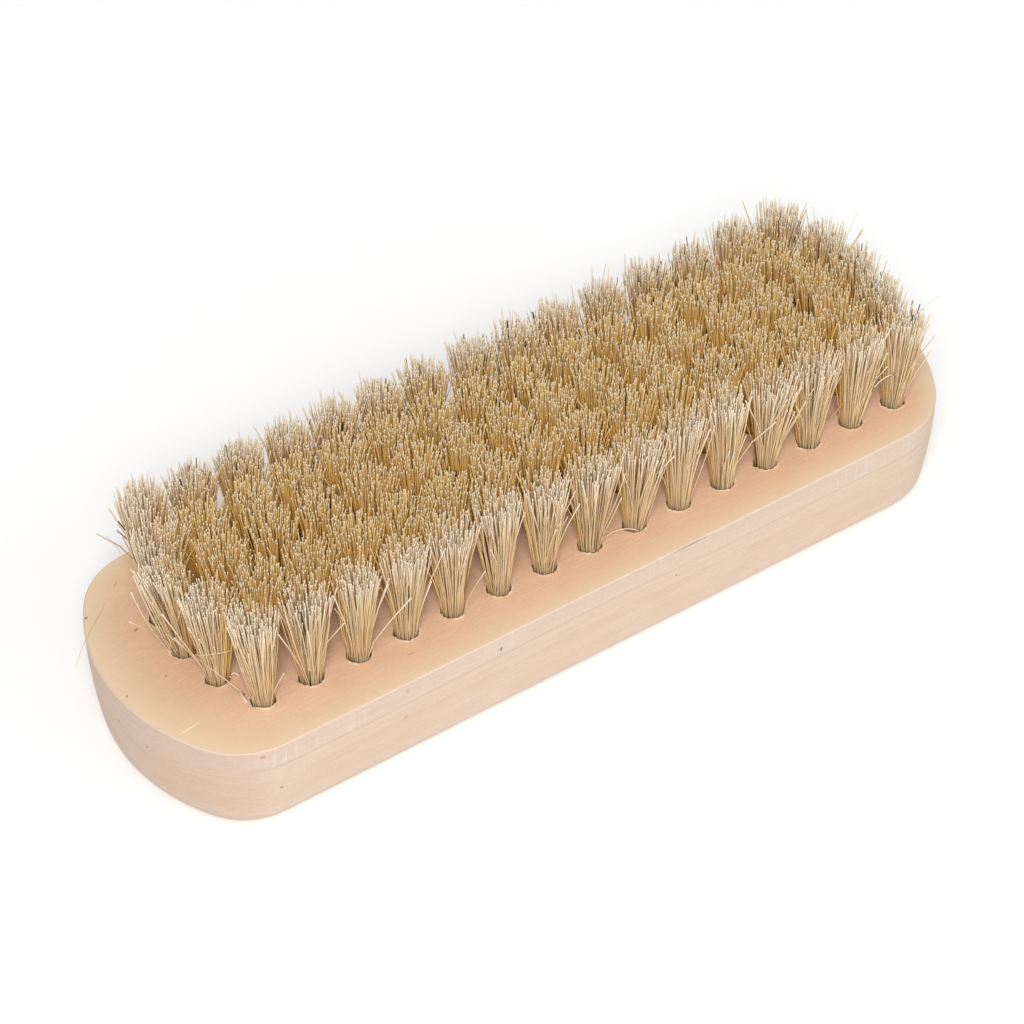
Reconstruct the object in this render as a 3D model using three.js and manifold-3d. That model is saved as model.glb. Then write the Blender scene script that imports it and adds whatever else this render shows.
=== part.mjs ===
// Polishing brush: one solid wooden block with bristle tufts set in drilled blind holes.
// Millimetres, +Z up. The brush lies on its back, bristles up, with the origin in the
// middle of the block's flat back. +X runs along the block and +Y across it.
import * as THREE from 'three';
import { mergeVertices } from 'three/addons/utils/BufferGeometryUtils.js';
import Module from 'manifold-3d';

const wasm = await Module();
wasm.setup();

// Block
const BLOCK_LENGTH = 159.5;
const BLOCK_WIDTH = 51;
const BLOCK_THICKNESS = 20;
const END_ARC_RADIUS = 35;
const CORNER_RADIUS = 14;
const SIDE_DRAW_IN = 1.8; // how far the side wall curves in between the bristle face and the back
const BACK_ROUND = 3.5;
const FACE_EDGE_EASE = 0.4;

// Tuft pattern
const TUFT_PITCH = 9.1;
const ROW_PITCH = 8.2; // both pitches give way a little, so that the pattern fills its margins
const END_MARGIN = 12.4; // end of the block to the end of the middle row, before the shift
const SIDE_MARGIN = 9.1; // long side to the nearest row of holes, before the shift and slant
const PATTERN_SHIFT = 1.9; // the pattern is drilled this far towards +X on the block
const PATTERN_SHIFT_ACROSS = 0.2; // and this far towards +Y
const ROW_STEP_BACK = 0.4; // each row lies this far towards -X from the row in front of it
const ROW_SLANT = -0.84; // degrees that the rows run off from the long sides

// Holes and anchors
const HOLE_DIAMETER = 4.3;
const HOLE_DEPTH = 13;
const HOLE_SIDES = 10;
const MOUTH_SIDES = 6;
const ANCHOR_HEIGHT = 1.8;
const ANCHOR_THICKNESS = 0.45;
const ANCHOR_BITE = 0.7; // how far each end of an anchor cuts into the wood
const ANCHOR_LIFT = 1.2; // hole bottom to the lower edge of the anchor

// Tufts
const BRISTLE_LENGTH = 21.2; // bristle face to the longest tip
const STALK_HEIGHT = 1.4;
const TUFT_STRANDS = 5;
const TUFT_TIP_GAP = 0.8; // least gap between the tips of neighbouring tufts
const STRAND_TIP_SHARE = 0.95; // size of a strand's tip against its root
const TIP_RAGGEDNESS = 1.6; // the shortest strand ends this far below the longest

// Backing slice and fits
const SLICE_THICKNESS = 2.4;
const SLICE_LIP = 2.5; // wood left between the outer holes and the edge of the slice
const SLICE_WEB = 1.2; // wood under the open mouth of each hole, which joins its tuft to the slice
const CLEARANCE = 0.3;
const WELD_DISTANCE = 1e-4; // points nearer than this are one point

// Steps along the round stretches
const END_ARC_STEPS = 12;
const CORNER_ARC_STEPS = 6;
const BACK_ROUND_STEPS = 4;
const SIDE_WALL_STEPS = 4;

const HALF_LENGTH = BLOCK_LENGTH / 2;
const HALF_WIDTH = BLOCK_WIDTH / 2;
const HOLE_RADIUS = HOLE_DIAMETER / 2;
const ROOT_RADIUS = HOLE_RADIUS - CLEARANCE;
const HOLE_BOTTOM = BLOCK_THICKNESS - HOLE_DEPTH;
const SLICE_BOTTOM = BLOCK_THICKNESS - SLICE_THICKNESS;
const ROW_GAPS = Math.round((BLOCK_WIDTH - 2 * SIDE_MARGIN) / ROW_PITCH);
const ROW_SPACING = (BLOCK_WIDTH - 2 * SIDE_MARGIN) / ROW_GAPS;
const ROW_SLOPE = Math.tan(THREE.MathUtils.degToRad(ROW_SLANT));
const LEAST_SIDE_MARGIN = SIDE_MARGIN - Math.abs(PATTERN_SHIFT_ACROSS) - Math.abs(ROW_SLOPE) * HALF_LENGTH;
const NEAREST_HOLE = Math.min(END_MARGIN - Math.abs(PATTERN_SHIFT), LEAST_SIDE_MARGIN);
const SLICE_INSET = NEAREST_HOLE - HOLE_RADIUS - SLICE_LIP;

const wood = new THREE.MeshStandardMaterial({ color: 0xe6c8a4, roughness: 0.62, metalness: 0 });
const bristle = new THREE.MeshStandardMaterial({ color: 0xcdae7a, roughness: 0.55, metalness: 0 });

// A closed geometry as a solid that can be joined and cut.
function solidOf(geometry) {
  const bare = geometry.clone();
  bare.deleteAttribute('normal');
  bare.deleteAttribute('uv');
  const merged = mergeVertices(bare, WELD_DISTANCE);
  const vertProperties = new Float32Array(merged.attributes.position.array);
  const triVerts = new Uint32Array(merged.index.array);
  return new wasm.Manifold(new wasm.Mesh({ numProp: 3, vertProperties, triVerts }));
}

// A solid as a named mesh.
function meshOf(name, solid, material) {
  const { vertProperties, triVerts } = solid.getMesh();
  const geometry = new THREE.BufferGeometry();
  geometry.setAttribute('position', new THREE.BufferAttribute(new Float32Array(vertProperties), 3));
  geometry.setIndex(new THREE.BufferAttribute(new Uint32Array(triVerts), 1));
  geometry.computeVertexNormals();
  const mesh = new THREE.Mesh(geometry, material);
  mesh.name = name;
  return mesh;
}

// Block outline moved inwards by inset: two end arcs, four corner arcs and straight long sides.
// Every inset has as many points, so that rings can be joined one to the next.
function outlinePoints(inset) {
  const endCentre = HALF_LENGTH - END_ARC_RADIUS;
  const cornerRise = HALF_WIDTH - CORNER_RADIUS;
  const cornerReach = Math.sqrt((END_ARC_RADIUS - CORNER_RADIUS) ** 2 - cornerRise ** 2);
  const cornerCentre = endCentre + cornerReach;
  const meet = Math.atan2(cornerRise, cornerReach);
  const quarter = Math.PI / 2;
  const arc = (x, y, radius, from, to, steps) =>
    new THREE.EllipseCurve(x, y, radius, radius, from, to).getPoints(steps);
  const corner = (x, y, from, to) => arc(x, y, CORNER_RADIUS - inset, from, to, CORNER_ARC_STEPS);
  // An end arc shares its first and last points with the corners beside it.
  const end = (x, from, to) => arc(x, 0, END_ARC_RADIUS - inset, from, to, END_ARC_STEPS).slice(1, -1);
  return [
    ...corner(cornerCentre, -cornerRise, -quarter, -meet),
    ...end(endCentre, -meet, meet),
    ...corner(cornerCentre, cornerRise, meet, quarter),
    ...corner(-cornerCentre, cornerRise, quarter, Math.PI - meet),
    ...end(-endCentre, Math.PI - meet, Math.PI + meet),
    ...corner(-cornerCentre, -cornerRise, Math.PI + meet, Math.PI + quarter),
  ];
}

// Inset of the side wall at a height: none at the bristle face, growing as the square of the depth.
function wallInset(height) {
  const depth = (BLOCK_THICKNESS - height) / BLOCK_THICKNESS;
  return SIDE_DRAW_IN * depth ** 2;
}

// Heights and insets of the block's rings, from the flat back up to the bristle face.
function blockRings() {
  const rings = [];
  for (let step = 0; step <= BACK_ROUND_STEPS; step += 1) {
    const turn = (step / BACK_ROUND_STEPS) * (Math.PI / 2);
    const height = BACK_ROUND * (1 - Math.cos(turn));
    rings.push({ height, inset: wallInset(height) + BACK_ROUND * (1 - Math.sin(turn)) });
  }
  const wallTop = BLOCK_THICKNESS - FACE_EDGE_EASE;
  for (let step = 1; step <= SIDE_WALL_STEPS; step += 1) {
    const height = BACK_ROUND + (wallTop - BACK_ROUND) * (step / SIDE_WALL_STEPS);
    rings.push({ height, inset: wallInset(height) });
  }
  rings.push({ height: BLOCK_THICKNESS, inset: FACE_EDGE_EASE });
  return rings;
}

// Skin through a stack of rings with equal counts, closed by a flat fan at each end.
function loftGeometry(rings) {
  const positions = [];
  const index = [];
  const count = rings[0].points.length;
  for (const ring of rings) {
    for (const point of ring.points) positions.push(point.x, point.y, ring.height);
  }
  for (let level = 0; level + 1 < rings.length; level += 1) {
    for (let side = 0; side < count; side += 1) {
      const low = level * count + side;
      const lowNext = level * count + ((side + 1) % count);
      index.push(low, lowNext, lowNext + count, low, lowNext + count, low + count);
    }
  }
  const bottomCentre = positions.length / 3;
  positions.push(0, 0, rings[0].height);
  positions.push(0, 0, rings[rings.length - 1].height);
  const topRing = (rings.length - 1) * count;
  for (let side = 0; side < count; side += 1) {
    const next = (side + 1) % count;
    index.push(bottomCentre, next, side);
    index.push(bottomCentre + 1, topRing + side, topRing + next);
  }
  const geometry = new THREE.BufferGeometry();
  geometry.setAttribute('position', new THREE.Float32BufferAttribute(positions, 3));
  geometry.setIndex(index);
  return geometry;
}

// Straight-sided plate with the block's outline.
function platePrism(inset, bottom, top) {
  const points = outlinePoints(inset);
  return loftGeometry([{ height: bottom, points }, { height: top, points }]);
}

// Rows of tufts across the block. Their ends follow the end arcs. y is where a row crosses x = 0.
function tuftRows() {
  const rows = [];
  for (let row = 0; row <= ROW_GAPS; row += 1) {
    const fromMiddle = row - ROW_GAPS / 2;
    const y = PATTERN_SHIFT_ACROSS + fromMiddle * ROW_SPACING;
    const endSag = END_ARC_RADIUS - Math.sqrt(END_ARC_RADIUS ** 2 - (fromMiddle * ROW_SPACING) ** 2);
    const halfSpan = HALF_LENGTH - END_MARGIN - endSag;
    const start = PATTERN_SHIFT - fromMiddle * ROW_STEP_BACK - halfSpan;
    const gaps = Math.round((2 * halfSpan) / TUFT_PITCH);
    const spacing = (2 * halfSpan) / gaps;
    const tufts = [];
    for (let place = 0; place <= gaps; place += 1) {
      const x = start + spacing * place;
      tufts.push(new THREE.Vector2(x, y + ROW_SLOPE * x));
    }
    rows.push({ y, spacing, tufts });
  }
  return rows;
}

// Upright round cutter or peg between two heights.
function uprightPrism(radius, sides, bottom, top, place) {
  const geometry = new THREE.CylinderGeometry(radius, radius, top - bottom, sides);
  geometry.rotateX(Math.PI / 2);
  geometry.translate(place.x, place.y, (bottom + top) / 2);
  return solidOf(geometry);
}

// Box lying along the row through a hole, from one height to another.
function anchorBox(length, thickness, bottom, top, place) {
  const geometry = new THREE.BoxGeometry(length, thickness, top - bottom);
  geometry.translate(place.x, place.y, (bottom + top) / 2);
  return solidOf(geometry);
}

// Flat wire that pins a tuft's fold: it spans the hole and bites into the wood at both ends.
function anchorSolid(place) {
  const bottom = HOLE_BOTTOM + ANCHOR_LIFT;
  const length = HOLE_DIAMETER + 2 * ANCHOR_BITE;
  return anchorBox(length, ANCHOR_THICKNESS, bottom, bottom + ANCHOR_HEIGHT, place);
}

function blockMesh(rows) {
  const rings = blockRings().map(({ height, inset }) => ({ height, points: outlinePoints(inset) }));
  const tufts = rows.flatMap((row) => row.tufts);
  let solid = solidOf(loftGeometry(rings));
  const pocketBottom = SLICE_BOTTOM - CLEARANCE;
  const pocket = platePrism(SLICE_INSET - CLEARANCE, pocketBottom, BLOCK_THICKNESS + CLEARANCE);
  solid = solid.subtract(solidOf(pocket));
  for (const tuft of tufts) {
    solid = solid.subtract(uprightPrism(HOLE_RADIUS, HOLE_SIDES, HOLE_BOTTOM, BLOCK_THICKNESS, tuft));
  }
  for (const tuft of tufts) {
    solid = solid.add(anchorSolid(tuft));
  }
  return meshOf('block', solid, wood);
}

// Repeatable number from 0 to 1 for one strand, so that tips end unevenly.
function unevenness(place, strand) {
  const wave = Math.sin(place.x * 12.9898 + place.y * 78.233 + strand * 37.719) * 43758.5453;
  return wave - Math.floor(wave);
}

// One tuft: a straight root and stalk of TUFT_STRANDS sides, then one three-sided strand from
// each sector of its end. The strands lean outwards, so they part at once and never cross.
function tuftGeometry(place, tipRadius) {
  const rootBottom = HOLE_BOTTOM + CLEARANCE;
  const stalkTop = BLOCK_THICKNESS + STALK_HEIGHT;
  const positions = [place.x, place.y, rootBottom, place.x, place.y, stalkTop];
  const index = [];
  const corner = (side) => {
    const angle = Math.PI / 2 + ((side % TUFT_STRANDS) / TUFT_STRANDS) * 2 * Math.PI;
    return new THREE.Vector2(Math.cos(angle), Math.sin(angle)).multiplyScalar(ROOT_RADIUS);
  };
  for (let side = 0; side < TUFT_STRANDS; side += 1) {
    const { x, y } = corner(side);
    positions.push(place.x + x, place.y + y, rootBottom, place.x + x, place.y + y, stalkTop);
  }
  for (let side = 0; side < TUFT_STRANDS; side += 1) {
    const low = 2 + 2 * side;
    const lowNext = 2 + 2 * ((side + 1) % TUFT_STRANDS);
    index.push(0, lowNext, low, low, lowNext, lowNext + 1, low, lowNext + 1, low + 1);
    const tip = positions.length / 3;
    const sector = [new THREE.Vector2(), corner(side), corner(side + 1)];
    const outward = corner(side).add(corner(side + 1)).normalize();
    const reach = tipRadius - ROOT_RADIUS * STRAND_TIP_SHARE;
    const tipHeight = BLOCK_THICKNESS + BRISTLE_LENGTH - TIP_RAGGEDNESS * unevenness(place, side);
    for (const point of sector) {
      const end = point.multiplyScalar(STRAND_TIP_SHARE).addScaledVector(outward, reach);
      positions.push(place.x + end.x, place.y + end.y, tipHeight);
    }
    const roots = [1, low + 1, lowNext + 1];
    for (let wall = 0; wall < 3; wall += 1) {
      const next = (wall + 1) % 3;
      index.push(roots[wall], roots[next], tip + next, roots[wall], tip + next, tip + wall);
    }
    index.push(tip, tip + 1, tip + 2);
  }
  const geometry = new THREE.BufferGeometry();
  geometry.setAttribute('position', new THREE.Float32BufferAttribute(positions, 3));
  geometry.setIndex(index);
  return geometry;
}

// A tuft with the slot in its root where its fold straddles the anchor.
function tuftSolid(place, tipRadius) {
  const slotTop = HOLE_BOTTOM + ANCHOR_LIFT + ANCHOR_HEIGHT + CLEARANCE;
  const slotWidth = ANCHOR_THICKNESS + 2 * CLEARANCE;
  const slot = anchorBox(HOLE_DIAMETER, slotWidth, HOLE_BOTTOM, slotTop, place);
  return solidOf(tuftGeometry(place, tipRadius)).subtract(slot);
}

// A strip of the wooden face with its rows of tufts, the mouth of each hole left open round them.
function bristleMesh(name, strip, front, rear, tipRadius) {
  const depth = rear - front - CLEARANCE;
  const band = new THREE.BoxGeometry(2 * BLOCK_LENGTH, depth, BLOCK_THICKNESS);
  band.rotateZ(Math.atan(ROW_SLOPE));
  band.translate(0, (front + rear) / 2, BLOCK_THICKNESS);
  let solid = solidOf(platePrism(SLICE_INSET, SLICE_BOTTOM, BLOCK_THICKNESS)).intersect(solidOf(band));
  const tufts = strip.flatMap((row) => row.tufts);
  const mouthBottom = SLICE_BOTTOM + SLICE_WEB;
  const mouthRadius = HOLE_RADIUS / Math.cos(Math.PI / MOUTH_SIDES);
  for (const tuft of tufts) {
    const mouth = uprightPrism(mouthRadius, MOUTH_SIDES, mouthBottom, BLOCK_THICKNESS + CLEARANCE, tuft);
    solid = solid.subtract(mouth);
  }
  for (const tuft of tufts) {
    solid = solid.add(tuftSolid(tuft, tipRadius));
  }
  return meshOf(name, solid, bristle);
}

// The tufts in three strips: the rows in front of the middle, the middle row and the rows behind it.
function bristleMeshes(rows) {
  const nearMiddle = (3 / 4) * ROW_SPACING;
  const leastSpacing = Math.min(ROW_SPACING, ...rows.map((row) => row.spacing));
  const tipRadius = (leastSpacing - TUFT_TIP_GAP) / 2;
  const strips = [
    { name: 'bristles_front', rows: rows.filter((row) => row.y < -nearMiddle) },
    { name: 'bristles_middle', rows: rows.filter((row) => Math.abs(row.y) <= nearMiddle) },
    { name: 'bristles_rear', rows: rows.filter((row) => row.y > nearMiddle) },
  ];
  return strips.map(({ name, rows: strip }) => {
    const firstRow = strip[0].y;
    const lastRow = strip[strip.length - 1].y;
    const front = firstRow === rows[0].y ? -BLOCK_WIDTH : firstRow - ROW_SPACING / 2;
    const rear = lastRow === rows[rows.length - 1].y ? BLOCK_WIDTH : lastRow + ROW_SPACING / 2;
    return bristleMesh(name, strip, front, rear, tipRadius);
  });
}

const rows = tuftRows();
const brush = new THREE.Group();
brush.name = 'polishing_brush';
brush.add(blockMesh(rows));
brush.add(...bristleMeshes(rows));

export default brush;
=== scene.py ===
# Looks of a polishing brush: a bare wooden block with natural bristle tufts, lying on its back.
import math

import bpy
import numpy as np
from mathutils import Matrix, Vector
from mathutils.geometry import delaunay_2d_cdt


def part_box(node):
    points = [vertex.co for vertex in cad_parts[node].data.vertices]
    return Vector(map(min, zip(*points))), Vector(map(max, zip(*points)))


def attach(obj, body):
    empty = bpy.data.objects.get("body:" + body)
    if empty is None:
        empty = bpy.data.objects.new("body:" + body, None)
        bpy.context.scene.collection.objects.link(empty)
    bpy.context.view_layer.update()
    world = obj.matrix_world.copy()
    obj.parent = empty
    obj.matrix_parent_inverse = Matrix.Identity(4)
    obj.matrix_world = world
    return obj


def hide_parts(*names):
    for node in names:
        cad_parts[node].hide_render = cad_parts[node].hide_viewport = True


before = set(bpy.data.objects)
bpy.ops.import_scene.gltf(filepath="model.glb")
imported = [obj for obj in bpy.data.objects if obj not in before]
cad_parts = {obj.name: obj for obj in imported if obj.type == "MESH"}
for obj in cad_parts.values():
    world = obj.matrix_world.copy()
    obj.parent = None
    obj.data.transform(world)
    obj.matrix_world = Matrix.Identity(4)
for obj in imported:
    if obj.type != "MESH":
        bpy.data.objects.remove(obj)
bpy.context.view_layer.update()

draw = np.random.default_rng(20)
MM = 0.001

# Block, in millimetres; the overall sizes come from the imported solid
block_low, block_high = (np.array(corner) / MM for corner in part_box("block"))
HALF_LENGTH = (block_high[0] - block_low[0]) / 2
HALF_WIDTH = (block_high[1] - block_low[1]) / 2
THICKNESS = block_high[2] - block_low[2]
END_ARC_RADIUS = 35.0
CORNER_RADIUS = 14.0
SIDE_DRAW_IN = 1.8
BACK_ROUND = 3.5
FACE_EDGE_ROUND = 0.28
EDGE_SUPPORT = 0.15
END_ARC_STEPS = 56
CORNER_ARC_STEPS = 22
BACK_ROUND_STEPS = 8
SIDE_WALL_STEPS = 10
FACE_EDGE_STEPS = 4
MERGE_DISTANCE = 1e-6

# Tuft pattern, as on the solid
TUFT_PITCH = 9.1
ROW_SPACING = 8.2
ROW_GAPS = 4
END_MARGIN = 12.4
PATTERN_SHIFT = 1.9
PATTERN_SHIFT_ACROSS = 0.2
ROW_STEP_BACK = 0.4
ROW_SLOPE = math.tan(math.radians(-0.84))

# Holes: the mouth is ragged, torn and pale in places, with a nick at each end of the anchor
HOLE_RADIUS = 2.15
HOLE_DEPTH = 9.0
HOLE_SIDES = 40
THROAT_INSET = 0.04
THROAT_DEPTH = 0.7
RIM_WIDTH = 0.45
RIM_RAGGEDNESS = 0.055
RIM_WAVES = 4
RIM_WAVE_SIZE = 0.5
RIM_MEAN_TEAR = 0.35
RIM_LIFT = 0.16
RIM_LIFT_SHARES = (0.2, 1.0)
NICK_DEPTH = 0.5
NICK_DEPTH_SHARES = (0.2, 1.0)
NICK_HALF_ANGLE = math.radians(14)
NICK_TURN_SPREAD = 0.12

# Kinds of the block's faces, which are also the places of their materials
SIDE_KIND, FACE_KIND, HOLE_KIND = range(3)

# Bristles
BRISTLE_LENGTH = 19.8
BRISTLE_LENGTH_SPREAD = 0.45
BRISTLE_ROOT_DEPTH = 3.0
BRISTLE_RADIUS = 0.128
BRISTLE_RADIUS_SPREAD = 0.14
BRISTLE_RADIUS_SHARES = (0.65, 1.35)
BRISTLE_TAPER = 0.10
BRISTLE_SIDES = 4
BRISTLE_RINGS = np.array([0.0, 0.15, 0.40, 0.70, 0.985, 1.0])
# Share of X in a bristle's direction past which it counts as lying along X
LYING_SHARE = 0.8

# Tufts, tight in the hole and fanned out at the tips
BRISTLES_PER_TUFT = 200
GOLDEN_ANGLE = math.pi * (3 - math.sqrt(5))
TUFT_ROOT_RADII = np.array([1.74, 1.92])
TUFT_ROOT_SCATTER = 0.03
TUFT_TIP_RADIUS = 4.35
TUFT_TIP_SHARES = (0.92, 1.08)
TUFT_DOME = 0.5
FAN_CURVE = 1.25
TIP_WANDER = 0.55
WANDER_CURVE = 1.5
BOW = 0.28
LEAN_SPREAD = 0.35
# Outward lean at both ends of each row, from the front row to the rear one, fading fast towards the middle
LEFT_END_LEANS = [1.8, 0.8, 2.0, 0.2, -0.8]
RIGHT_END_LEANS = [0.6, -0.6, 0.5, 0.7, 0.9]
END_LEAN_CURVE = 5

# Uneven bristles: the share of a tuft that each kind has, and how it differs
SHORT_SHARE = 0.07
SHORT_LENGTHS = (0.72, 0.95)
LONG_SHARE = 0.008
LONG_EXTRA = (0.5, 1.8)
LOOSE_SHARE = 0.07
LOOSE_WANDER = 1.7
LOOSE_BOW = 2.0

# Strays, which leave a tuft on its outside
STRAYS_PER_TUFT = 6
STRAY_LAYER = 0.3
STRAY_LENGTHS = (0.55, 0.95)
STRAY_STARTS = (0.05, 0.45)
STRAY_REACH = (2.0, 9.0)
STRAY_SCATTER = 1.5
STRAY_CURVE = 1.3
STRAY_TONE = 1.0

# Tone of a bristle, from 0 for black to 1 for ivory; the black ones are some of the dark ones
TONE_MEAN = 0.70
TONE_SPREAD = 0.11
TONE_RANGE = (0.44, 1.0)
DARK_SHARE = 0.024
BROWN_TONES = (0.20, 0.36)
BLACK_SHARE = 0.009
BLACK_TONES = (0.0, 0.12)

# Share of the outside colour on the outer tufts, by the side of the tuft that a bristle stands on; the rest
# takes the painted light of the field's inside
OUTSIDE_MEAN = 0.75
OUTSIDE_SLOPE = 1.3
OUTSIDE_LEAST = 0.3

# Bristle colours from root to tip, inside the field and on its outside, and the tints of the tones. The
# bright deep gold inside the field is painted light, for light shining through the translucent bristles;
# both ramps darken towards the root, partly for dirt and partly as painted shade near the face
INNER_PAINTED_GLOW_COLOURS = [
    (0.13, (0.62, 0.36, 0.10)),
    (0.50, (1.00, 0.67, 0.17)),
    (0.80, (1.00, 0.68, 0.20)),
    (0.97, (0.79, 0.59, 0.28)),
    (1.00, (0.77, 0.67, 0.49)),
]
OUTER_COLOURS = [
    (0.13, (0.48, 0.37, 0.23)),
    (0.30, (0.73, 0.54, 0.32)),
    (0.75, (0.76, 0.58, 0.36)),
    (1.00, (0.84, 0.75, 0.60)),
]
TONE_TINTS = [
    (0.00, (0.03, 0.03, 0.03)),
    (0.16, (0.12, 0.09, 0.08)),
    (0.34, (0.46, 0.34, 0.28)),
    (0.50, (0.92, 0.87, 0.80)),
    (0.72, (1.00, 0.98, 0.95)),
    (1.00, (1.00, 1.00, 1.00)),
]

# Wood grain as cells of noise in a metre along X, Y and Z; the bands have theirs up the sides
FACE_CLOUD_GRAIN = (45, 90, 90)
FACE_SPECKLE_GRAIN = (2400, 2400, 2400)
FACE_FIBRE_GRAIN = (260, 2200, 2200)
FACE_DASH_GRAIN = (420, 4200, 4200)
SIDE_DRIFT_GRAIN = (9, 9, 40)
SIDE_BAND_GRAIN = 260.0
SIDE_BLOTCH_GRAIN = (70, 70, 190)
SIDE_WEAR_GRAIN = (32, 32, 70)
SIDE_CUTTER_GRAIN = (2600, 2600, 90)
SIDE_SPECKLE_GRAIN = (2200, 2200, 2200)
SIDE_FIBRE_GRAIN = (260, 260, 2600)
FIBRE_BUMP_STRENGTH = 0.10
FIBRE_BUMP_DEPTH = 0.2

# Wood of the face, with tones from the tufts out to the edges in shares of two half sizes; the paler tone
# by the tufts is painted light that evens out the shade they cast
FACE_TONE_HALF_LENGTH = 74.0
FACE_TONE_HALF_WIDTH = 20.5
FACE_TONE_DRIFT = 0.35
FACE_TONE_START = 0.6
FACE_TONES = [
    (0.12, (0.820, 0.540, 0.360)),
    (0.42, (0.780, 0.510, 0.340)),
    (0.80, (0.665, 0.394, 0.237)),
]
FACE_END_TINTS = [(0.84, (1.0, 1.0, 1.0)), (1.00, (0.89, 0.85, 0.845))]
FACE_DASH_COLOUR = (0.50, 0.29, 0.17)
FACE_RIM_COLOUR = (0.80, 0.64, 0.45)
FACE_RIM_STRENGTH = 0.75

# Wood of the sides: bands along the grain, a growth-ring line, the wood above it and cutter marks, with
# painted shade darkening the left end
SIDE_TONES = [
    (0.32, (0.608, 0.456, 0.335)),
    (0.50, (0.625, 0.480, 0.366)),
    (0.68, (0.637, 0.502, 0.396)),
]
SIDE_BAND_DRIFT = 5.0
SIDE_BLOTCH_COLOUR = (0.660, 0.528, 0.446)
RING_LINE_HEIGHT = 17.6
RING_LINE_HALF_WIDTH = 0.35
RING_LINE_COLOUR = (0.54, 0.39, 0.29)
UPPER_WOOD_FADE = 0.8
UPPER_WOOD_STRENGTH = 0.4
UPPER_WOOD_COLOUR = (0.622, 0.488, 0.412)
LOW_MARKS_HEIGHT = 6.0
CUTTER_MARK_COLOUR = (0.70, 0.59, 0.51)
# Painted shade on the left end of the sides, as if it were less lit
LEFT_END_PAINTED_SHADE = [(0.80, (1.0, 1.0, 1.0)), (0.86, (0.92, 0.89, 0.89))]
SIDE_EDGE_COLOUR = (0.74, 0.59, 0.43)
SIDE_EDGE_STRENGTH = 0.5

# Small marks on the wood as place, half sizes, turn in degrees, colour and strength
DARK_FLECK = (0.16, 0.09, 0.05)
RED_FLECK = (0.52, 0.17, 0.11)
PALE_SCRATCH = (0.86, 0.72, 0.52)
FACE_FLECKS = [
    ((-75.2, 16.2, THICKNESS), (0.40, 0.30, 0.5), 0, DARK_FLECK, 0.8),
    ((-69.8, 9.3, THICKNESS), (0.60, 0.25, 0.5), 20, DARK_FLECK, 0.7),
    ((-70.9, -2.2, THICKNESS), (0.30, 0.25, 0.5), 0, DARK_FLECK, 0.6),
    ((-78.3, -2.5, THICKNESS), (0.30, 0.25, 0.5), 0, DARK_FLECK, 0.6),
    ((-35.5, -20.3, THICKNESS), (0.90, 0.25, 0.5), 0, RED_FLECK, 0.4),
    ((-73.7, -14.1, THICKNESS), (2.70, 0.25, 0.5), 6, PALE_SCRATCH, 0.8),
]
SIDE_FLECKS = [
    ((-79.5, -1.1, 13.5), (0.6, 0.35, 0.35), 0, DARK_FLECK, 0.8),
    ((-78.5, -8.3, 13.3), (0.6, 0.30, 0.30), 0, DARK_FLECK, 0.6),
    ((-63.5, -24.9, 9.6), (0.35, 0.6, 0.35), 0, DARK_FLECK, 0.7),
    ((-21.3, -25.4, 17.1), (0.30, 0.6, 0.55), 0, DARK_FLECK, 0.9),
    ((14.2, -25.3, 13.7), (0.30, 0.6, 0.30), 0, DARK_FLECK, 0.5),
    ((-66.5, -24.8, 18.7), (0.60, 0.8, 0.55), 0, RED_FLECK, 0.6),
    ((-39.5, -25.5, 18.2), (0.60, 0.8, 0.70), 0, RED_FLECK, 0.35),
    ((-39.8, -25.2, 11.8), (0.60, 0.8, 0.70), 0, RED_FLECK, 0.40),
    ((17.0, -25.4, 19.7), (5.00, 0.6, 0.22), 0, DARK_FLECK, 0.5),
]

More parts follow.
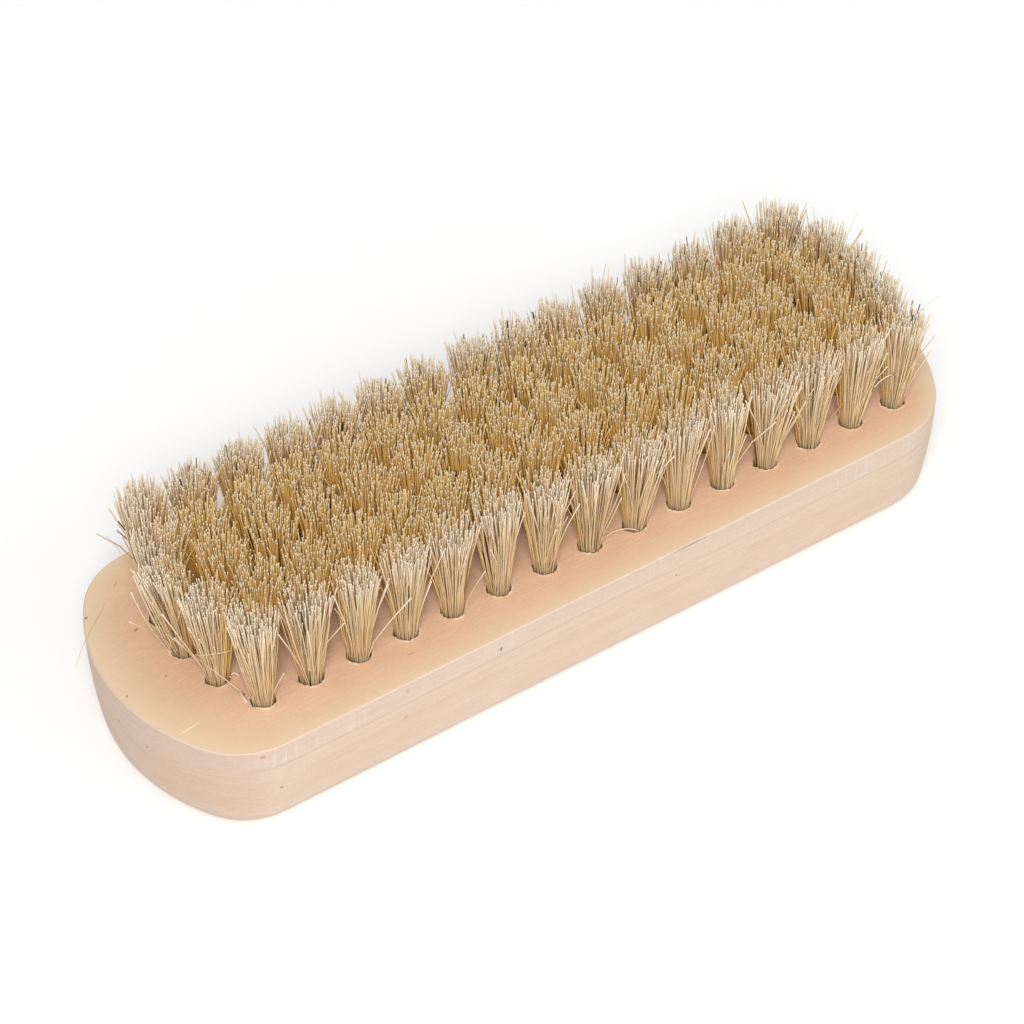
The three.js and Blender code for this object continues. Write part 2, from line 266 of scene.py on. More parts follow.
# Loose bristles and chips as radius, tone and the points they pass, with heights above the bristle face
LOOSE_STEPS = 13
LOOSE_COLOUR_SPAN = (0.6, 1.0)
LOOSE_BRISTLES = [
    # Fallen across the first tufts down to the face, with a chip at its end
    (0.09, 1.0, [(-68.5, 1.9, 5.5), (-67.1, -3.8, 4.8), (-65.6, -9.4, 4.2), (-62.5, -13.0, 0.2)]),
    (0.30, 1.0, [(-62.9, -12.1, 0.25), (-63.1, -13.4, 0.35), (-63.1, -14.6, 0.25)]),
    # Out of a hole in the third row, against the second row
    (0.08, 0.9, [(-65.3, -0.8, -1.0), (-66.4, -3.5, 3.5), (-66.6, -8.8, 8.3), (-63.0, -10.8, 9.0)]),
    (0.16, 1.0, [(-66.4, 0.4, -1.0), (-67.6, -0.6, 6.3), (-65.2, -3.5, 19.0)]),
    # Bowed out of the same hole to the left
    (0.12, 0.9, [(-67.0, 1.8, -1.5), (-69.3, 3.7, 7.5), (-71.4, 4.9, 17.5)]),
    (0.12, 0.8, [(-66.9, 1.9, -1.5), (-68.8, 3.4, 7.0), (-70.7, 4.3, 15.5)]),
    (0.11, 0.9, [(-66.6, 2.3, -1.5), (-69.2, 4.7, 8.0), (-70.1, 5.3, 19.2)]),
    (0.12, 1.0, [(-67.0, 1.6, -1.5), (-69.6, 4.1, 5.0), (-71.6, 5.9, 13.0)]),
    (0.12, 0.8, [(-66.9, 1.5, -1.5), (-69.0, 3.6, 6.0), (-70.9, 4.8, 17.0)]),
    # Lying at the left end of the face and over its edges
    (0.06, 0.9, [(-66.9, 20.6, 0.06), (-72.7, 15.9, 0.06), (-77.9, 11.7, 0.2), (-82.4, 7.2, -0.5)]),
    (0.07, 0.7, [(-63.1, 21.0, 0.07), (-63.1, 25.3, 0.2), (-63.3, 29.9, 0.8)]),
    # Two dark ones leaning out of the rear left tuft
    (0.11, 0.1, [(-62.7, 18.0, -2.0), (-64.3, 16.9, 8.6), (-67.6, 16.2, 18.2)]),
    (0.10, 0.2, [(-62.4, 17.0, -2.0), (-64.6, 16.3, 9.0), (-68.3, 15.6, 17.0)]),
    # Arched from one front hole to the next
    (0.10, 1.0, [(1.9, -18.1, -0.6), (5.6, -17.4, 1.6), (9.1, -17.8, 1.4), (11.2, -18.4, 0.1)]),
    # Bent out of the last front tufts
    (0.09, 1.0, [(55.2, -17.3, 6.5), (54.6, -16.6, 4.0), (53.7, -14.6, 0.1)]),
    (0.12, 1.0, [(57.5, -18.0, -1.0), (59.0, -19.0, 6.0), (63.2, -18.4, 8.3), (64.5, -19.4, 8.8)]),
    (0.10, 0.9, [(66.4, -16.8, -2.0), (66.8, -17.1, 8.0), (67.9, -17.4, 16.6), (74.2, -17.4, 20.4)]),
    # Chips of wood at two hole mouths
    (0.20, 1.0, [(-62.6, -8.4, 0.1), (-61.6, -8.2, 0.5), (-61.2, -9.0, 0.2)]),
    (0.22, 1.0, [(-62.6, -16.3, 0.1), (-61.9, -17.3, 0.4), (-60.9, -17.6, 0.1)]),
]

# Camera, fitted to the block's outline and the front row of holes
IMAGE_PIXELS = 1024
SENSOR_MM = 36.0
FOCAL_PIXELS = 3861.4
VIEW_AZIMUTH = math.radians(-34.13)
VIEW_ELEVATION = math.radians(45.21)
VIEW_DISTANCE = 652.5
VIEW_SLIDE_RIGHT = 1.587
VIEW_SLIDE_UP = 3.062

# Studio, with the floor in millimetres and the lamps in metres and watts
FLOOR_HALF_SIZE = 4000.0
FLOOR_COLOUR = (0.96, 0.96, 0.96, 1.0)
FLOOR_ROUGHNESS = 0.8
WORLD_COLOUR = (1.0, 1.0, 1.0, 1.0)
WORLD_STRENGTH = 0.50
KEY_PLACE = (-1.08, -1.54, 2.07)
KEY_SIZE = 1.15
KEY_POWER = 60.0
FILL_PLACE = (1.4, -2.2, 1.4)
FILL_SIZE = 2.2
FILL_POWER = 12.0

# Sockets of a Mix node for colours: factor and both colours, then the result
MIX_INPUTS = (0, 6, 7)
MIX_RESULT = 2


def mesh_object(name, points, faces, materials):
    """A mesh object from points in millimetres."""
    mesh = bpy.data.meshes.new(name)
    mesh.from_pydata((np.asarray(points) * MM).tolist(), [], faces)
    mesh.validate()
    for material in materials:
        mesh.materials.append(material)
    piece = bpy.data.objects.new(name, mesh)
    bpy.context.scene.collection.objects.link(piece)
    return piece


def arc(x, y, radius, start, stop, steps):
    angles = np.linspace(start, stop, steps + 1)
    return np.column_stack([x + radius * np.cos(angles), y + radius * np.sin(angles)])


def outline(inset):
    """Block outline moved inwards, counter-clockwise, with as many points on every inset."""
    end_centre = HALF_LENGTH - END_ARC_RADIUS
    rise = HALF_WIDTH - CORNER_RADIUS
    reach = math.sqrt((END_ARC_RADIUS - CORNER_RADIUS) ** 2 - rise ** 2)
    corner_centre = end_centre + reach
    meet = math.atan2(rise, reach)
    quarter = math.pi / 2
    half = np.vstack([
        arc(corner_centre, -rise, CORNER_RADIUS - inset, -quarter, -meet, CORNER_ARC_STEPS),
        arc(end_centre, 0, END_ARC_RADIUS - inset, -meet, meet, END_ARC_STEPS)[1:-1],
        arc(corner_centre, rise, CORNER_RADIUS - inset, meet, quarter, CORNER_ARC_STEPS),
    ])
    return np.vstack([half, -half])


def wall_inset(height):
    return SIDE_DRAW_IN * ((THICKNESS - height) / THICKNESS) ** 2


def block_rings():
    """Heights and insets from the flat back up to the bristle face."""
    rings = []
    for turn in np.linspace(0, math.pi / 2, BACK_ROUND_STEPS + 1):
        height = BACK_ROUND * (1 - math.cos(turn))
        rings.append((height, wall_inset(height) + BACK_ROUND * (1 - math.sin(turn))))
    wall_top = THICKNESS - FACE_EDGE_ROUND
    wall_heights = np.linspace(BACK_ROUND, wall_top - EDGE_SUPPORT, SIDE_WALL_STEPS + 1)[1:]
    for height in [*wall_heights, wall_top]:
        rings.append((height, wall_inset(height)))
    for turn in np.linspace(0, math.pi / 2, FACE_EDGE_STEPS + 1)[1:]:
        height = wall_top + FACE_EDGE_ROUND * math.sin(turn)
        rings.append((height, FACE_EDGE_ROUND * (1 - math.cos(turn))))
    return rings


def tuft_places():
    """Rows of hole centres at a slight slant; their ends follow the curve of the block's ends."""
    rows = []
    for row in range(ROW_GAPS + 1):
        from_middle = row - ROW_GAPS / 2
        y = from_middle * ROW_SPACING
        end_sag = END_ARC_RADIUS - math.sqrt(END_ARC_RADIUS ** 2 - y ** 2)
        half_span = HALF_LENGTH - END_MARGIN - end_sag
        gaps = round(2 * half_span / TUFT_PITCH)
        x = PATTERN_SHIFT - from_middle * ROW_STEP_BACK + np.linspace(-half_span, half_span, gaps + 1)
        rows.append(np.column_stack([x, PATTERN_SHIFT_ACROSS + y + ROW_SLOPE * x]))
    return rows


def hole_rim():
    """Angles, radii and tornness round one hole mouth, with a nick at each end of its anchor."""
    angles = np.linspace(0, 2 * math.pi, HOLE_SIDES, endpoint=False)
    radii = HOLE_RADIUS + draw.normal(0, RIM_RAGGEDNESS, HOLE_SIDES)
    for nick in (0.0, math.pi):
        turn = nick + draw.normal(0, NICK_TURN_SPREAD)
        away = np.abs((angles - turn + math.pi) % (2 * math.pi) - math.pi)
        depth = NICK_DEPTH * draw.uniform(*NICK_DEPTH_SHARES)
        radii += depth * np.clip(1 - away / NICK_HALF_ANGLE, 0, 1)
    torn = np.full(HOLE_SIDES, RIM_MEAN_TEAR)
    for wave in range(1, RIM_WAVES + 1):
        torn += draw.normal(0, RIM_WAVE_SIZE) * np.cos(wave * angles + draw.uniform(0, 2 * math.pi))
    return angles, radii, np.clip(torn, 0, 1)


def within(point, ring):
    """Whether a flat point lies inside a closed ring of points."""
    after = np.roll(ring, -1, axis=0)
    spans = (ring[:, 1] > point[1]) != (after[:, 1] > point[1])
    low, high = ring[spans], after[spans]
    crossing = low[:, 0] + (high[:, 0] - low[:, 0]) * (point[1] - low[:, 1]) / (high[:, 1] - low[:, 1])
    return np.sum(crossing > point[0]) % 2 == 1


def face_triangles(points, loops, centres):
    """Triangles of the flat face between its outline, the first loop, and one loop round each centre."""
    used = [index for loop in loops for index in loop]
    flat = [Vector(points[index][:2]) for index in used]
    edges = []
    start = 0
    for loop in loops:
        edges.extend((start + k, start + (k + 1) % len(loop)) for k in range(len(loop)))
        start += len(loop)
    _, _, triangles, origins, _, _ = delaunay_2d_cdt(flat, edges, [], 0, MERGE_DISTANCE)
    kept = []
    for triangle in triangles:
        corners = [used[origins[index][0]] for index in triangle]
        middle = np.mean([points[index][:2] for index in corners], axis=0)
        nearest = np.argmin(np.hypot(*(centres - middle).T))
        mouth = np.array([points[index][:2] for index in loops[nearest + 1]])
        if not within(middle, mouth):
            kept.append(tuple(corners))
    return kept


def wood_block(rows):
    """The block with its real hole mouths. The face and the holes have their own material."""
    points = []
    faces = []
    kinds = []
    rim = []

    def add_ring(flat, height, rim_value=0.0):
        first = len(points)
        points.extend(tuple(point) for point in np.column_stack([flat, np.broadcast_to(height, len(flat))]))
        rim.extend(np.broadcast_to(rim_value, len(flat)))
        return first

    def add_faces(new_faces, kind):
        faces.extend(new_faces)
        kinds.extend([kind] * len(new_faces))

    def join(low, high, count, kind):
        after = [(side + 1) % count for side in range(count)]
        add_faces([(low + k, low + after[k], high + after[k], high + k) for k in range(count)], kind)

    edge_bottom = THICKNESS - FACE_EDGE_ROUND
    firsts = [
        add_ring(outline(inset), height, float(height > edge_bottom))
        for height, inset in block_rings()
    ]
    count = len(outline(0))
    for low, high in zip(firsts, firsts[1:]):
        join(low, high, count, SIDE_KIND)
    add_faces([tuple(reversed(range(firsts[0], firsts[0] + count)))], SIDE_KIND)

    loops = [list(range(firsts[-1], firsts[-1] + count))]
    centres = np.array([place for row in rows for place in row])
    for centre in centres:
        angles, radii, torn = hole_rim()
        turn = np.column_stack([np.cos(angles), np.sin(angles)])
        lift = RIM_LIFT * torn * draw.uniform(*RIM_LIFT_SHARES, HOLE_SIDES)
        wall = centre + turn * (HOLE_RADIUS - THROAT_INSET)
        outer = add_ring(centre + turn * (radii + RIM_WIDTH)[:, None], THICKNESS)
        edge = add_ring(centre + turn * radii[:, None], THICKNESS + lift, torn)
        throat = add_ring(wall, THICKNESS - THROAT_DEPTH)
        bottom = add_ring(wall, THICKNESS - HOLE_DEPTH)
        join(outer, edge, HOLE_SIDES, FACE_KIND)
        join(edge, throat, HOLE_SIDES, HOLE_KIND)
        join(throat, bottom, HOLE_SIDES, HOLE_KIND)
        add_faces([tuple(range(bottom, bottom + HOLE_SIDES))], HOLE_KIND)
        loops.append(list(range(outer, outer + HOLE_SIDES)))
    add_faces(face_triangles(points, loops, centres), FACE_KIND)

    side = side_wood_material()
    face = face_wood_material()
    block = mesh_object("wood_block", points, faces, [side, face, face])
    mesh = block.data
    mesh.polygons.foreach_set("material_index", np.array(kinds, dtype=np.int32))
    mesh.polygons.foreach_set("use_smooth", np.array([kind != FACE_KIND for kind in kinds]))
    mesh.attributes.new("rim", "FLOAT", "POINT").data.foreach_set("value", np.array(rim, dtype=np.float32))
    return block


def tube_bundle(name, paths, radii, along, values, material):
    """Many thin tubes in one mesh. paths is strands by rings by 3, in millimetres."""
    strands, rings, _ = paths.shape
    tangent = np.gradient(paths, axis=1)
    tangent /= np.linalg.norm(tangent, axis=2, keepdims=True)
    lying = np.abs(tangent[..., :1]) > LYING_SHARE
    guide = np.where(lying, np.array([0.0, 0.0, 1.0]), np.array([1.0, 0.0, 0.0]))
    across = np.cross(tangent, guide)
    across /= np.linalg.norm(across, axis=2, keepdims=True)
    upward = np.cross(tangent, across)
    turns = np.arange(BRISTLE_SIDES) * 2 * math.pi / BRISTLE_SIDES
    sideways = np.cos(turns)[:, None] * across[:, :, None, :]
    offset = sideways + np.sin(turns)[:, None] * upward[:, :, None, :]
    points = paths[:, :, None, :] + radii[:, :, None, None] * offset
    number = np.arange(points[..., 0].size).reshape(strands, rings, BRISTLE_SIDES)
    after = np.roll(number, -1, axis=2)
    walls = np.stack([number[:, :-1], after[:, :-1], after[:, 1:], number[:, 1:]], axis=-1).reshape(-1, 4)
    tips = number[:, -1]
    roots = number[:, 0, ::-1]
    faces = np.vstack([walls, tips, roots]).tolist()
    piece = mesh_object(name, points.reshape(-1, 3), faces, [material])
    mesh = piece.data
    mesh.polygons.foreach_set("use_smooth", np.ones(len(mesh.polygons), dtype=bool))
    spread = np.ones((strands, rings, BRISTLE_SIDES), dtype=np.float32)
    columns = {"along": spread * along[None, :, None]}
    columns.update({key: spread * strand[:, None, None] for key, strand in values.items()})
    for key, column in columns.items():
        data = column.astype(np.float32).ravel()
        mesh.attributes.new(key, "FLOAT", "POINT").data.foreach_set("value", data)
    return piece


def bristle_tones(count):
    """Mostly straw and ivory, with a few brown and near-black bristles."""
    tones = np.clip(draw.normal(TONE_MEAN, TONE_SPREAD, count), *TONE_RANGE)
    pick = draw.uniform(0, 1, count)
    for share, limits in ((DARK_SHARE, BROWN_TONES), (BLACK_SHARE, BLACK_TONES)):
        picked = pick < share
        tones[picked] = draw.uniform(*limits, np.sum(picked))
    return tones


def tuft_paths(centre, outward, lean):
    """Bristles of one tuft: tight in the hole, then fanning out to uneven tips, with a few strays."""
    count = BRISTLES_PER_TUFT
    place = np.sqrt((np.arange(count) + 0.5) / count)
    angle = np.arange(count) * GOLDEN_ANGLE + draw.uniform(0, 2 * math.pi)
    base = np.column_stack([np.cos(angle), np.sin(angle)]) * place[:, None]
    base += draw.normal(0, TUFT_ROOT_SCATTER, base.shape)
    length = BRISTLE_LENGTH + draw.normal(0, BRISTLE_LENGTH_SPREAD, count) - TUFT_DOME * place ** 2
    short = draw.uniform(0, 1, count) < SHORT_SHARE
    length[short] *= draw.uniform(*SHORT_LENGTHS, np.sum(short))
    long = draw.uniform(0, 1, count) < LONG_SHARE
    length[long] += draw.uniform(*LONG_EXTRA, np.sum(long))
    wander = draw.normal(0, TIP_WANDER, base.shape)
    loose = draw.uniform(0, 1, count) < LOOSE_SHARE
    wander[loose] += draw.normal(0, LOOSE_WANDER, (np.sum(loose), 2))
    bow = draw.normal(0, BOW, base.shape)
    bow[loose] *= LOOSE_BOW
    lean = lean + draw.normal(0, LEAN_SPREAD, 2)
    spread = TUFT_TIP_RADIUS * draw.uniform(*TUFT_TIP_SHARES)

    stray = np.argsort(place + draw.uniform(0, STRAY_LAYER, count))[-STRAYS_PER_TUFT:]
    length[stray] *= draw.uniform(*STRAY_LENGTHS, STRAYS_PER_TUFT)
    leave = np.zeros(count)
    leave[stray] = draw.uniform(*STRAY_STARTS, STRAYS_PER_TUFT)
    astray = np.zeros(base.shape)
    astray[stray] = base[stray] * draw.uniform(*STRAY_REACH, (STRAYS_PER_TUFT, 1))
    astray[stray] += draw.normal(0, STRAY_SCATTER, (STRAYS_PER_TUFT, 2))

    whole = BRISTLE_ROOT_DEPTH + length
    height = whole[:, None] * BRISTLE_RINGS[None, :] - BRISTLE_ROOT_DEPTH
    rise = np.clip(height / BRISTLE_LENGTH, 0, None)[..., None]
    fan = TUFT_ROOT_RADII + (spread - TUFT_ROOT_RADII) * rise ** FAN_CURVE
    flat = base[:, None, :] * fan
    flat += wander[:, None, :] * rise ** WANDER_CURVE
    flat += lean * rise
    flat += bow[:, None, :] * np.sin(math.pi * np.clip(rise, 0, 1))
    flat += astray[:, None, :] * np.clip(rise - leave[:, None, None], 0, None) ** STRAY_CURVE
    flat += centre
    # Share of the paler outside colour; what is left gets the painted glow of the field's inside
    facing = np.where(outward != 0, OUTSIDE_MEAN + OUTSIDE_SLOPE * base * outward, 0.0).max(axis=1)
    outside = np.clip(facing, OUTSIDE_LEAST * np.abs(outward).max(), 1)
    tones = bristle_tones(count)
    tones[stray] = STRAY_TONE
    return np.concatenate([flat, (THICKNESS + height)[..., None]], axis=2), outside, tones


def tuft_plan(rows):
    """For each row, its tufts as centre, side that faces out of the field, and lean of the whole tuft."""
    plan = []
    for number, row in enumerate(rows):
        across = float(number == len(rows) - 1) - float(number == 0)
        tufts = []
        for place, centre in enumerate(row):
            along = float(place == len(row) - 1) - float(place == 0)
            reach = (centre[0] - PATTERN_SHIFT) / (HALF_LENGTH - END_MARGIN)
            end_leans = RIGHT_END_LEANS if reach > 0 else LEFT_END_LEANS
            lean = np.array([end_leans[number] * reach ** END_LEAN_CURVE, 0.0])
            tufts.append((centre, np.array([along, across]), lean))
        plan.append(tufts)
    return plan


def tuft_strip(name, rows, material):
    """All bristles of some rows of tufts as one piece."""
    paths, outside, tones = map(np.concatenate, zip(*[tuft_paths(*tuft) for row in rows for tuft in row]))
    count = len(paths)
    shares = np.clip(draw.normal(1.0, BRISTLE_RADIUS_SPREAD, count), *BRISTLE_RADIUS_SHARES)
    radii = BRISTLE_RADIUS * shares[:, None] * (1 - BRISTLE_TAPER * BRISTLE_RINGS[None, :])
    values = {"tone": tones, "outside": outside}
    return tube_bundle(name, paths, radii, BRISTLE_RINGS, values, material)


def smooth_path(points):
    """A smooth curve through a few points."""
    points = np.array(points)
    stride = np.linalg.norm(np.diff(points, axis=0), axis=1)
    knots = np.concatenate([[0.0], np.cumsum(stride)]) / stride.sum()
    curve = np.polyfit(knots, points, len(points) - 1)
    return np.vander(np.linspace(0, 1, LOOSE_STEPS), len(points)) @ curve


def loose_bristles(material):
    """Single bristles and chips that lie on the face or stand out of their tufts."""
    radii, tones, courses = zip(*LOOSE_BRISTLES)
    paths = np.array([smooth_path(points) for points in courses])
    paths[..., 2] += THICKNESS
    thick = np.repeat(np.array(radii)[:, None], LOOSE_STEPS, axis=1)
    values = {"tone": np.array(tones), "outside": np.ones(len(paths))}
    along = np.linspace(*LOOSE_COLOUR_SPAN, LOOSE_STEPS)
    return tube_bundle("loose_bristles", paths, thick, along, values, material)


def grey(value):
    return (value, value, value)


class Nodes:
    """Short way to add and link shader nodes of one material."""

    def __init__(self, name):
        self.material = bpy.data.materials.new(name)
        self.material.use_nodes = True
        self.tree = self.material.node_tree
        self.shader = self.tree.nodes["Principled BSDF"]

    def add(self, kind, **values):
        node = self.tree.nodes.new(kind)
        for key, value in values.items():
            setattr(node, key, value)
        return node

    def link(self, output, socket):
        self.tree.links.new(output, socket)

    def feed(self, socket, value):
        """Give a socket a number or a colour, or link an output to it."""
        if isinstance(value, (int, float)):
            socket.default_value = value
        elif isinstance(value, tuple):
            socket.default_value = (*value, 1.0)
        else:
            self.link(value, socket)

    def math(self, operation, first, second=0.0):
        node = self.add("ShaderNodeMath", operation=operation)
        for socket, value in zip(node.inputs, (first, second)):
            self.feed(socket, value)
        return node.outputs["Value"]

    def in_units(self, length, unit):
        """A length counted in units of some millimetres."""
        return self.math("MULTIPLY", length, 1 / (unit * MM))

    def axes(self):
        coordinates = self.add("ShaderNodeTexCoord")
        separate = self.add("ShaderNodeSeparateXYZ")
        self.link(coordinates.outputs["Object"], separate.inputs["Vector"])
        return separate.outputs["X"], separate.outputs["Y"], separate.outputs["Z"]

    def noise_at(self, value, grain, detail):
        """Noise along one value."""
        node = self.add("ShaderNodeTexNoise", noise_dimensions="1D")
        self.link(value, node.inputs["W"])
        node.inputs["Scale"].default_value = grain
        node.inputs["Detail"].default_value = detail
        return node.outputs["Fac"]

    def noise(self, grain, detail, roughness=0.55, distortion=0.0):
        coordinates = self.add("ShaderNodeTexCoord")
        mapping = self.add("ShaderNodeMapping")
        mapping.inputs["Scale"].default_value = grain
        self.link(coordinates.outputs["Object"], mapping.inputs["Vector"])
        node = self.add("ShaderNodeTexNoise")
        self.link(mapping.outputs["Vector"], node.inputs["Vector"])
        node.inputs["Scale"].default_value = 1.0
        node.inputs["Detail"].default_value = detail
        node.inputs["Roughness"].default_value = roughness
        node.inputs["Distortion"].default_value = distortion
        return node.outputs["Fac"]

    def ramp(self, factor, stops):
        node = self.add("ShaderNodeValToRGB")
        elements = node.color_ramp.elements
        while len(elements) < len(stops):
            elements.new(0.5)
        for element, (place, colour) in zip(elements, stops):
            element.position = place
            element.color = (*colour, 1.0)
        self.link(factor, node.inputs["Fac"])
        return node.outputs["Color"]

    def fade(self, factor, start, stop, first=0.0, last=1.0):
        """A grey ramp from one strength to another."""
        return self.ramp(factor, [(start, grey(first)), (stop, grey(last))])

    def mix(self, factor, first, second, blend="MIX"):
        node = self.add("ShaderNodeMix", data_type="RGBA", blend_type=blend)
        for place, value in zip(MIX_INPUTS, (factor, first, second)):
            self.feed(node.inputs[place], value)
        return node.outputs[MIX_RESULT]

    def times(self, first, second, strength=1.0):
        return self.mix(strength, first, second, "MULTIPLY")

    def mottle(self, colour, noise, dark, light, strength):
        """A colour made darker and lighter by a noise."""
        return self.times(colour, self.fade(noise, start=0.30, stop=0.70, first=dark, last=light), strength)

    def attribute(self, name):
        node = self.add("ShaderNodeAttribute", attribute_name=name)
        return node.outputs["Fac"]

    def surface(self, colour, roughness, specular):
        self.link(colour, self.shader.inputs["Base Color"])
        self.shader.inputs["Roughness"].default_value = roughness
        self.shader.inputs["Specular IOR Level"].default_value = specular

    def fibre_bump(self, fibre):
        node = self.add("ShaderNodeBump")
        node.inputs["Strength"].default_value = FIBRE_BUMP_STRENGTH
        node.inputs["Distance"].default_value = FIBRE_BUMP_DEPTH * MM
        self.link(fibre, node.inputs["Height"])
        self.link(node.outputs["Normal"], self.shader.inputs["Normal"])


def add_flecks(nodes, colour, flecks):
    """Small marks on the wood. Each is an ellipse: place, half sizes, turn about Z, colour and strength."""
    coordinates = nodes.add("ShaderNodeTexCoord")
    for place, half_sizes, turn, tint, strength in flecks:
        mapping = nodes.add("ShaderNodeMapping", vector_type="TEXTURE")
        mapping.inputs["Location"].default_value = [value * MM for value in place]
        mapping.inputs["Rotation"].default_value = (0.0, 0.0, math.radians(turn))
        mapping.inputs["Scale"].default_value = [value * MM for value in half_sizes]
        nodes.link(coordinates.outputs["Object"], mapping.inputs["Vector"])
        length = nodes.add("ShaderNodeVectorMath", operation="LENGTH")
        nodes.link(mapping.outputs["Vector"], length.inputs[0])
        mask = nodes.fade(length.outputs["Value"], start=0.5, stop=1.0, first=strength, last=0.0)
        colour = nodes.mix(mask, colour, tint)
    return colour


def face_wood_material():
    """Sanded bristle face: paler by the tufts, as painted light against the shade they cast, deeper at the
    edges, with faint fibres and pale rims.
    """
    nodes = Nodes("face_wood")
    x, y, _ = nodes.axes()
    along = nodes.in_units(nodes.math("ABSOLUTE", x), FACE_TONE_HALF_LENGTH)
    across = nodes.in_units(nodes.math("ABSOLUTE", y), FACE_TONE_HALF_WIDTH)
    outward = nodes.math("MAXIMUM", along, across)
    cloud = nodes.noise(FACE_CLOUD_GRAIN, detail=3.0)
    outward = nodes.math("ADD", outward, nodes.math("MULTIPLY", cloud, FACE_TONE_DRIFT))
    outward = nodes.math("SUBTRACT", outward, FACE_TONE_START)
    # Painted light: the face is paler by the tufts to even out the shade they cast
    base = nodes.times(nodes.ramp(outward, FACE_TONES), nodes.ramp(along, FACE_END_TINTS))
    speckle = nodes.noise(FACE_SPECKLE_GRAIN, detail=2.0)
    base = nodes.mottle(base, speckle, dark=0.92, light=1.05, strength=0.8)
    fibre = nodes.noise(FACE_FIBRE_GRAIN, detail=4.0, roughness=0.65)
    base = nodes.mottle(base, fibre, dark=0.86, light=1.08, strength=0.7)
    dash = nodes.noise(FACE_DASH_GRAIN, detail=2.0)
    base = nodes.mix(nodes.fade(dash, start=0.64, stop=0.76, last=0.40), base, FACE_DASH_COLOUR)
    pale = nodes.math("MULTIPLY", nodes.attribute("rim"), FACE_RIM_STRENGTH)
    base = nodes.mix(pale, base, FACE_RIM_COLOUR)
    nodes.surface(add_flecks(nodes, base, FACE_FLECKS), roughness=0.56, specular=0.35)
    nodes.fibre_bump(fibre)
    return nodes.material


def cutter_marks(nodes, height, upper, straight):
    """Strength of the fine upright marks, in worn patches above the growth-ring line and near the back."""
    patch = nodes.noise(SIDE_WEAR_GRAIN, detail=2.0)
    worn = nodes.times(nodes.fade(patch, start=0.40, stop=0.56, first=0.1), straight)
    low = nodes.in_units(height, LOW_MARKS_HEIGHT)
    low = nodes.fade(low, start=0.35, stop=0.85, first=1.0, last=0.0)
    marks = nodes.noise(SIDE_CUTTER_GRAIN, detail=2.0)
    streak = nodes.times(nodes.fade(marks, start=0.50, stop=0.68, last=0.52), worn)
    return nodes.times(streak, nodes.mix(1.0, upper, low, "ADD"))


def side_wood_material():
    """Cutter-planed sides: pale bands along the grain, a growth-ring line and fine upright cutter marks,
    with painted shade on the left end.
    """
    nodes = Nodes("side_wood")
    x, _, height = nodes.axes()
    along = nodes.in_units(nodes.math("ABSOLUTE", x), HALF_LENGTH)
    straight = nodes.fade(along, start=0.80, stop=0.90, first=1.0, last=0.15)
    drift = nodes.noise(SIDE_DRIFT_GRAIN, detail=2.0)
    level = nodes.math("ADD", height, nodes.math("MULTIPLY", drift, SIDE_BAND_DRIFT * MM))
    base = nodes.ramp(nodes.noise_at(level, SIDE_BAND_GRAIN, detail=3.0), SIDE_TONES)
    blotch = nodes.noise(SIDE_BLOTCH_GRAIN, detail=3.0, distortion=0.6)
    base = nodes.mix(nodes.fade(blotch, start=0.45, stop=0.70, last=0.5), base, SIDE_BLOTCH_COLOUR)
    above_line = nodes.math("SUBTRACT", level, RING_LINE_HEIGHT * MM)
    line = nodes.in_units(nodes.math("ABSOLUTE", above_line), RING_LINE_HALF_WIDTH)
    line = nodes.times(nodes.fade(line, start=0.1, stop=1.0, first=0.6, last=0.0), straight)
    base = nodes.mix(line, base, RING_LINE_COLOUR)
    upper = nodes.fade(nodes.in_units(above_line, UPPER_WOOD_FADE), start=0.0, stop=1.0)
    base = nodes.mix(nodes.math("MULTIPLY", upper, UPPER_WOOD_STRENGTH), base, UPPER_WOOD_COLOUR)
    base = nodes.mix(cutter_marks(nodes, height, upper, straight), base, CUTTER_MARK_COLOUR)
    # Painted shade: darken the left end of the sides
    base = nodes.times(base, nodes.ramp(nodes.in_units(x, -HALF_LENGTH), LEFT_END_PAINTED_SHADE))
    speckle = nodes.noise(SIDE_SPECKLE_GRAIN, detail=2.0)
    base = nodes.mottle(base, speckle, dark=0.95, light=1.04, strength=0.8)
    fibre = nodes.noise(SIDE_FIBRE_GRAIN, detail=5.0, roughness=0.7)
    base = nodes.mottle(base, fibre, dark=0.91, light=1.06, strength=0.8)
    pale = nodes.math("MULTIPLY", nodes.attribute("rim"), SIDE_EDGE_STRENGTH)
    base = nodes.mix(pale, base, SIDE_EDGE_COLOUR)
    nodes.surface(add_flecks(nodes, base, SIDE_FLECKS), roughness=0.62, specular=0.3)
    nodes.fibre_bump(fibre)
    return nodes.material


def bristle_material():
    """Natural bristle: paler at the cut tips and on the outside of the field; the deep gold inside the
    field is painted light shining through the translucent bristles.
    """
    nodes = Nodes("natural_bristle")
    along = nodes.attribute("along")
    # Painted light: deep gold for light shining through the bristles inside the field, darker at the root
    # partly as painted shade
    painted_glow = nodes.ramp(along, INNER_PAINTED_GLOW_COLOURS)
    outer = nodes.ramp(along, OUTER_COLOURS)
    colour = nodes.mix(nodes.attribute("outside"), painted_glow, outer)
    colour = nodes.times(colour, nodes.ramp(nodes.attribute("tone"), TONE_TINTS))
    nodes.surface(colour, roughness=0.5, specular=0.35)
    return nodes.material


def floor_plane():
    nodes = Nodes("pale_floor")
    nodes.shader.inputs["Base Color"].default_value = FLOOR_COLOUR
    nodes.shader.inputs["Roughness"].default_value = FLOOR_ROUGHNESS
    half = FLOOR_HALF_SIZE
    corners = [(-half, -half, 0.0), (half, -half, 0.0), (half, half, 0.0), (-half, half, 0.0)]
    floor = mesh_object("floor", corners, [(0, 1, 2, 3)], [nodes.material])


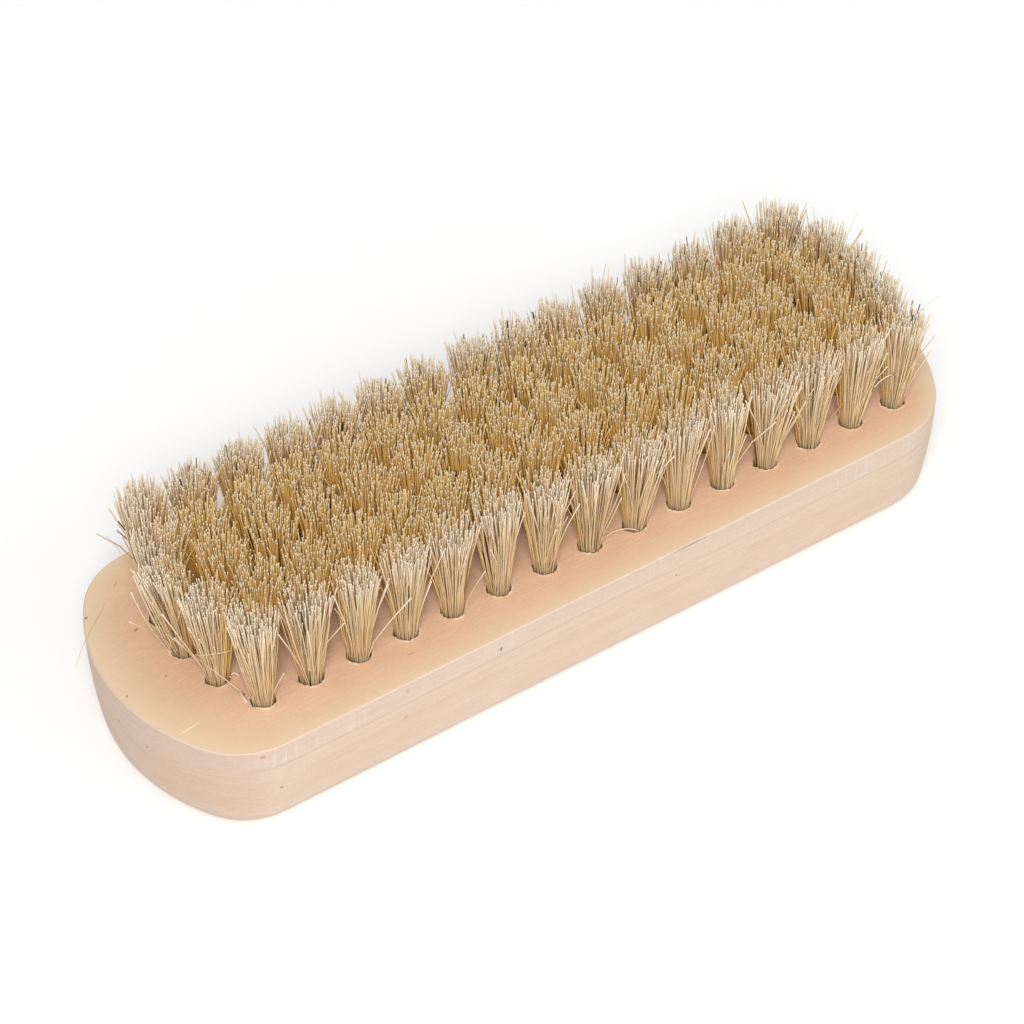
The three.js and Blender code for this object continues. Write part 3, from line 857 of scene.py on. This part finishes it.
def area_light(name, place, target, size, power):
    light = bpy.data.lights.new(name, "AREA")
    light.shape = "DISK"
    light.size = size
    light.energy = power
    lamp = bpy.data.objects.new(name, light)
    lamp.location = place
    lamp.rotation_euler = (Vector(target) - Vector(place)).to_track_quat("-Z", "Y").to_euler()
    bpy.context.scene.collection.objects.link(lamp)


def studio_light():
    world = bpy.data.worlds.new("studio")
    world.use_nodes = True
    background = world.node_tree.nodes["Background"]
    background.inputs["Color"].default_value = WORLD_COLOUR
    background.inputs["Strength"].default_value = WORLD_STRENGTH
    bpy.context.scene.world = world
    centre = (0.0, 0.0, THICKNESS * MM)
    area_light("key", KEY_PLACE, centre, KEY_SIZE, KEY_POWER)
    area_light("fill", FILL_PLACE, centre, FILL_SIZE, FILL_POWER)


def photo_camera():
    azimuth, elevation = VIEW_AZIMUTH, VIEW_ELEVATION
    back = Vector((
        math.sin(azimuth) * math.cos(elevation),
        -math.cos(azimuth) * math.cos(elevation),
        math.sin(elevation),
    ))
    right = Vector((math.cos(azimuth), math.sin(azimuth), 0.0))
    up = back.cross(right)
    place = Vector((0.0, 0.0, THICKNESS)) + back * VIEW_DISTANCE
    place -= right * VIEW_SLIDE_RIGHT + up * VIEW_SLIDE_UP
    data = bpy.data.cameras.new("photo_camera")
    data.sensor_fit = "HORIZONTAL"
    data.sensor_width = SENSOR_MM
    data.lens = SENSOR_MM * FOCAL_PIXELS / IMAGE_PIXELS
    camera = bpy.data.objects.new("photo_camera", data)
    camera.matrix_world = Matrix.Translation(place * MM) @ Matrix((right, up, back)).transposed().to_4x4()
    bpy.context.scene.collection.objects.link(camera)
    bpy.context.scene.camera = camera


def build_brush():
    rows = tuft_places()
    block = wood_block(rows)
    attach(block, "root")
    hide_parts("block")
    material = bristle_material()
    middle = ROW_GAPS // 2
    strips = {
        "front": slice(0, middle),
        "middle": slice(middle, middle + 1),
        "rear": slice(middle + 1, len(rows)),
    }
    plan = tuft_plan(rows)
    for place, strip in strips.items():
        tufts = tuft_strip(f"tufts_{place}", plan[strip], material)
        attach(tufts, "root")
        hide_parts(f"bristles_{place}")
    loose = loose_bristles(material)
    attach(loose, "root")


photo_camera()
studio_light()
floor_plane()
build_brush()
bpy.context.scene.view_settings.view_transform = "Standard"
